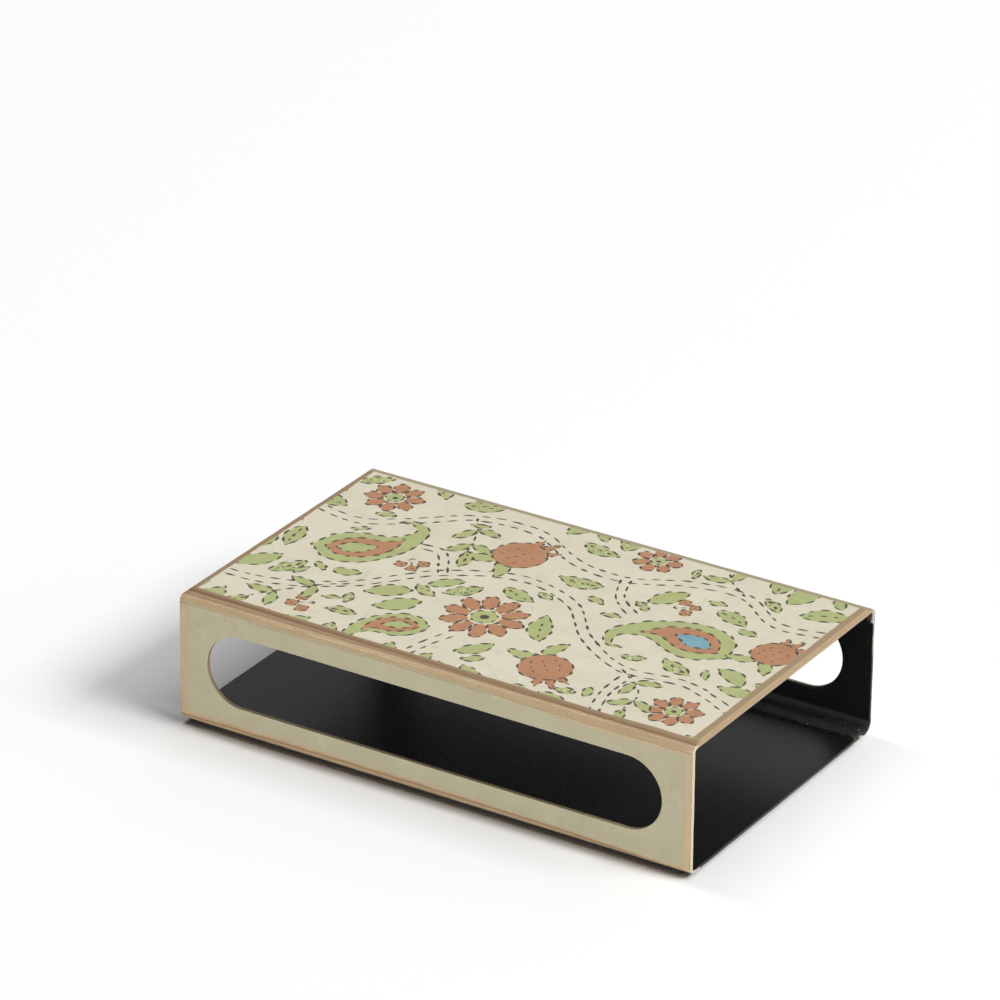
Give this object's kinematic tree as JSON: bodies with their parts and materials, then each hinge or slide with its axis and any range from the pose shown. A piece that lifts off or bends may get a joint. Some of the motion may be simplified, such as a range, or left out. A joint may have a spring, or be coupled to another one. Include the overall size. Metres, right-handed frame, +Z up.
{
  "type": "matchbox holder",
  "caption": "Open metal sleeve that a household matchbox slides into, with a long window in each side wall and printed paper pasted on the top.",
  "frame": {"origin": "centre of the bounding box's underside, on the floor that the holder stands on", "axes": "+X along the sleeve, the way the matchbox slides in and out; +Y towards the rear wall, the one whose foot laps over the base; +Z up"},
  "size_m": [0.11, 0.066, 0.0268],
  "materials": {
    "painted_steel": "hand-painted tan outside, semi-gloss black inside",
    "solder": "solder painted over in semi-gloss black",
    "printed_paper": null,
    "side_paper": "varnished fibrous paper",
    "base_card": "matt thick card"
  },
  "bodies": {
    "root": {"sleeve": "painted_steel", "seam_solder": "solder", "top_print": "printed_paper", "front_paper": "side_paper", "rear_paper": "side_paper", "base_card": "base_card"}
  },
  "joints": []
}
